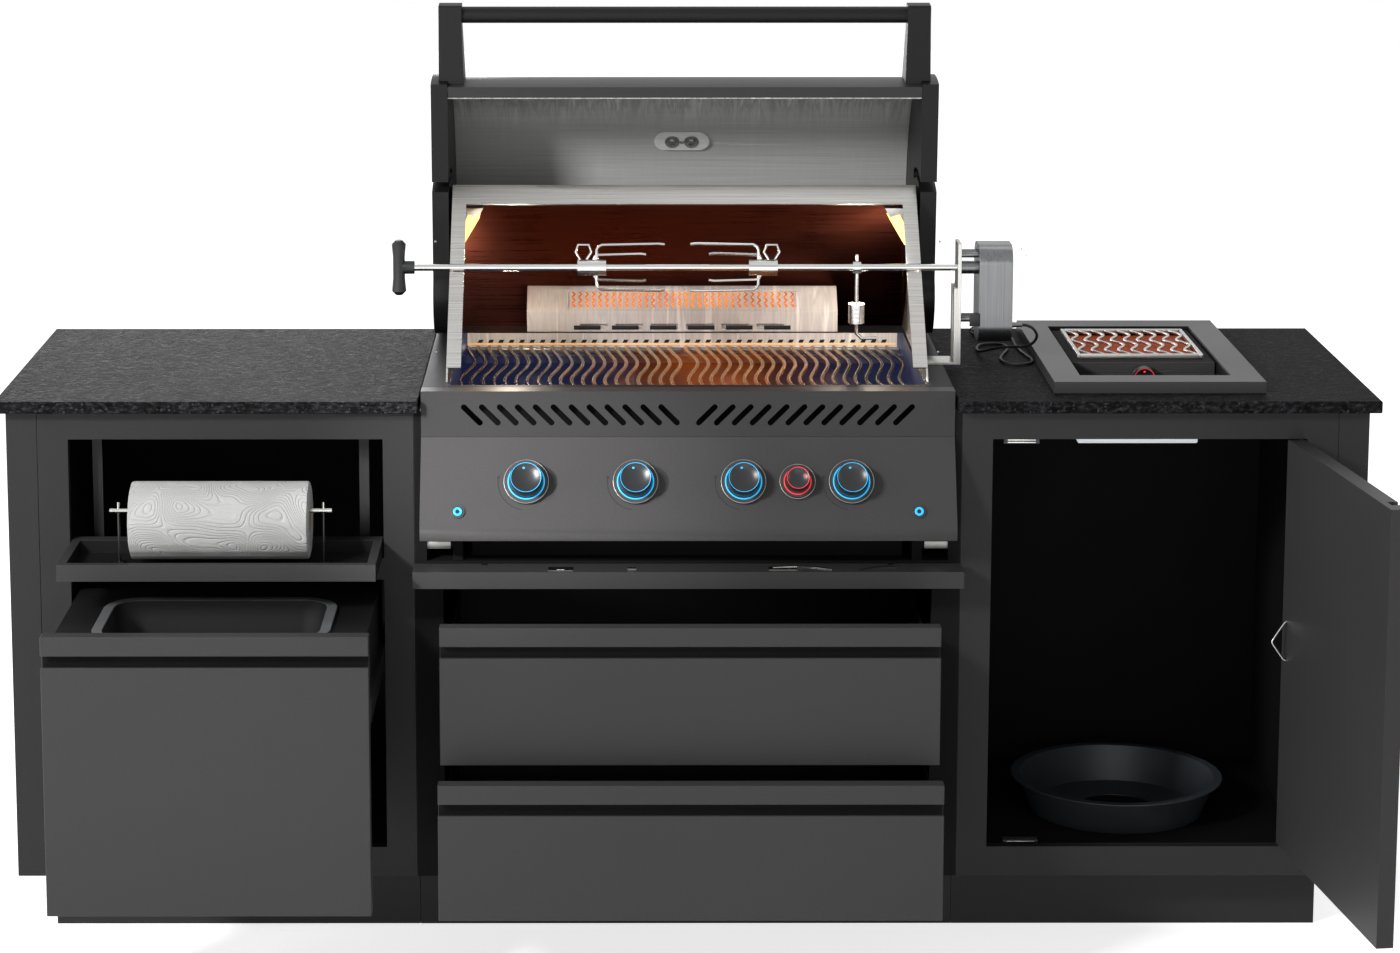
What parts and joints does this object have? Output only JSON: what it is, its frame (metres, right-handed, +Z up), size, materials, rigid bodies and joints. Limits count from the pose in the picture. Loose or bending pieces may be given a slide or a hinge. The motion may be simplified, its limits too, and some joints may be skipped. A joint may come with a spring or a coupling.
{
  "type": "outdoor kitchen island",
  "caption": "Outdoor kitchen island: steel cabinets with stone worktops, a lidded gas grill head with rotisserie, pull-out drawers, waste bin, towel door and gas cupboard, and a side burner.",
  "frame": {"origin": "on the floor, in the middle of the plinth's width and depth", "axes": "+X to the right of someone who stands in front, +Y to the back, +Z up"},
  "size_m": [2.239, 1.195, 1.5191],
  "materials": {
    "charcoal_steel": "satin powder coat",
    "dark_steel": "satin",
    "cast_aluminium": "painted casting",
    "stone": "polished speckled stone",
    "stainless": "brushed",
    "black_plastic": "matt",
    "grey_plastic": "satin",
    "blue_plastic": "lit, gloss",
    "paper": "embossed paper",
    "cord_rubber": "matt"
  },
  "bodies": {
    "island": {"left_carcass": "charcoal_steel", "centre_carcass": "charcoal_steel", "right_carcass": "charcoal_steel", "left_end_panel": "charcoal_steel", "right_end_panel": "charcoal_steel", "left_worktop": "stone", "right_worktop": "stone", "tank_ring": "grey_plastic", "vent_panel": "charcoal_steel", "control_panel": "charcoal_steel", "firebox": "dark_steel", "hood_frame": "stainless", "cooking_grid_left": "stainless", "cooking_grid_right": "stainless", "burner_set": "stainless", "rear_burner": "stainless", "sear_plate_1": "stainless", "sear_plate_2": "stainless", "sear_plate_3": "stainless", "sear_plate_4": "stainless", "motor_bracket": "stainless", "motor": "grey_plastic", "motor_cord": "cord_rubber", "cord_coil": "cord_rubber", "motor_plug": "black_plastic", "side_burner_frame": "charcoal_steel", "side_burner_body": "charcoal_steel", "side_burner_grid": "stainless"},
    "lid": {"lid_shell": "charcoal_steel", "lid_liner": "stainless", "lid_cap_left": "cast_aluminium", "lid_cap_right": "cast_aluminium", "lid_handle": "stainless", "lid_gauge": "stainless"},
    "spit": {"spit_rod": "stainless", "spit_handle": "black_plastic", "counterweight": "stainless"},
    "left_fork": {"spit_fork_left": "stainless"},
    "right_fork": {"spit_fork_right": "stainless"},
    "towel_door": {"towel_door": "charcoal_steel", "towel_holder": "stainless"},
    "towel_roll": {"towel_roll": "paper"},
    "access_flap": {"access_flap": "charcoal_steel"},
    "drip_tray": {"drip_tray": "stainless"},
    "bin_drawer": {"bin_drawer_front": "charcoal_steel", "bin_drawer_frame": "dark_steel"},
    "waste_bin": {"waste_bin": "black_plastic"},
    "upper_drawer": {"upper_drawer_front": "charcoal_steel", "upper_drawer_box": "dark_steel"},
    "lower_drawer": {"lower_drawer_front": "charcoal_steel", "lower_drawer_box": "dark_steel"},
    "gas_door": {"gas_door": "charcoal_steel"},
    "burner_knob_1": {"burner_knob_1": "cast_aluminium"},
    "burner_knob_2": {"burner_knob_2": "cast_aluminium"},
    "burner_knob_3": {"burner_knob_3": "cast_aluminium"},
    "burner_knob_4": {"burner_knob_4": "cast_aluminium"},
    "rear_burner_knob": {"rear_burner_knob": "cast_aluminium"},
    "side_burner_knob": {"side_burner_knob": "cast_aluminium"},
    "ignition_button": {"ignition_button": "blue_plastic"},
    "light_button": {"light_button": "blue_plastic"}
  },
  "joints": [
    {"name": "lid_hinge", "type": "hinge", "parent": "island", "child": "lid", "pos_m": [0, 0.096, 1.012], "axis": [1, 0, 0], "range_deg": [0, 85.7]},
    {"name": "spit_turn", "type": "hinge", "parent": "island", "child": "spit", "pos_m": [0, -0.099, 1.09], "axis": [1, 0, 0], "continuous": true},
    {"name": "left_fork_slide", "type": "slide", "parent": "spit", "child": "left_fork", "axis": [1, 0, 0], "range_m": [-0.15, 0.015]},
    {"name": "right_fork_slide", "type": "slide", "parent": "spit", "child": "right_fork", "axis": [1, 0, 0], "range_m": [-0.015, 0.1]},
    {"name": "towel_door_hinge", "type": "hinge", "parent": "island", "child": "towel_door", "pos_m": [-0.7495, -0.3255, 0.666], "axis": [1, 0, 0], "range_deg": [-90, 0]},
    {"name": "towel_roll_turn", "type": "hinge", "parent": "towel_door", "child": "towel_roll", "pos_m": [-0.7495, -0.4185, 0.7321], "axis": [1, 0, 0], "continuous": true},
    {"name": "access_flap_hinge", "type": "hinge", "parent": "island", "child": "access_flap", "pos_m": [0, -0.353, 0.63], "axis": [1, 0, 0], "range_deg": [-90, 0]},
    {"name": "drip_tray_slide", "type": "slide", "parent": "island", "child": "drip_tray", "axis": [0, -1, 0], "range_m": [0, 0.3]},
    {"name": "bin_drawer_slide", "type": "slide", "parent": "island", "child": "bin_drawer", "axis": [0, -1, 0], "range_m": [-0.344, 0]},
    {"name": "waste_bin_lift", "type": "slide", "parent": "bin_drawer", "child": "waste_bin", "axis": [0, 0, 1], "range_m": [0, 0.05]},
    {"name": "upper_drawer_slide", "type": "slide", "parent": "island", "child": "upper_drawer", "axis": [0, -1, 0], "range_m": [-0.242, 0.19]},
    {"name": "lower_drawer_slide", "type": "slide", "parent": "island", "child": "lower_drawer", "axis": [0, -1, 0], "range_m": [-0.328, 0.105]},
    {"name": "gas_door_hinge", "type": "hinge", "parent": "island", "child": "gas_door", "pos_m": [0.996, -0.333, 0.5], "axis": [0, 0, 1], "range_deg": [-97, 8]},
    {"name": "burner_knob_1_turn", "type": "hinge", "parent": "island", "child": "burner_knob_1", "pos_m": [-0.261, -0.3781, 0.78435], "axis": [0, -0.8879, 0.4601], "range_deg": [-90, 120]},
    {"name": "burner_knob_2_turn", "type": "hinge", "parent": "island", "child": "burner_knob_2", "pos_m": [-0.085, -0.3781, 0.78435], "axis": [0, -0.8879, 0.4601], "range_deg": [-90, 120]},
    {"name": "burner_knob_3_turn", "type": "hinge", "parent": "island", "child": "burner_knob_3", "pos_m": [0.089, -0.3781, 0.78435], "axis": [0, -0.8879, 0.4601], "range_deg": [-90, 120]},
    {"name": "burner_knob_4_turn", "type": "hinge", "parent": "island", "child": "burner_knob_4", "pos_m": [0.263, -0.3781, 0.78435], "axis": [0, -0.8879, 0.4601], "range_deg": [-90, 120]},
    {"name": "rear_burner_knob_turn", "type": "hinge", "parent": "island", "child": "rear_burner_knob", "pos_m": [0.176, -0.3781, 0.78435], "axis": [0, -0.8879, 0.4601], "range_deg": [-90, 120]},
    {"name": "side_burner_knob_turn", "type": "hinge", "parent": "island", "child": "side_burner_knob", "pos_m": [0.77, -0.101, 0.905], "axis": [0, -1, 0], "range_deg": [-90, 120]},
    {"name": "ignition_button_push", "type": "slide", "parent": "island", "child": "ignition_button", "axis": [0, 0.8879, -0.4601], "range_m": [0, 0.0025], "stiffness_N_per_m": 400, "springref_m": -0.001},
    {"name": "light_button_push", "type": "slide", "parent": "island", "child": "light_button", "axis": [0, 0.8879, -0.4601], "range_m": [0, 0.0025], "stiffness_N_per_m": 400, "springref_m": -0.001}
  ]
}
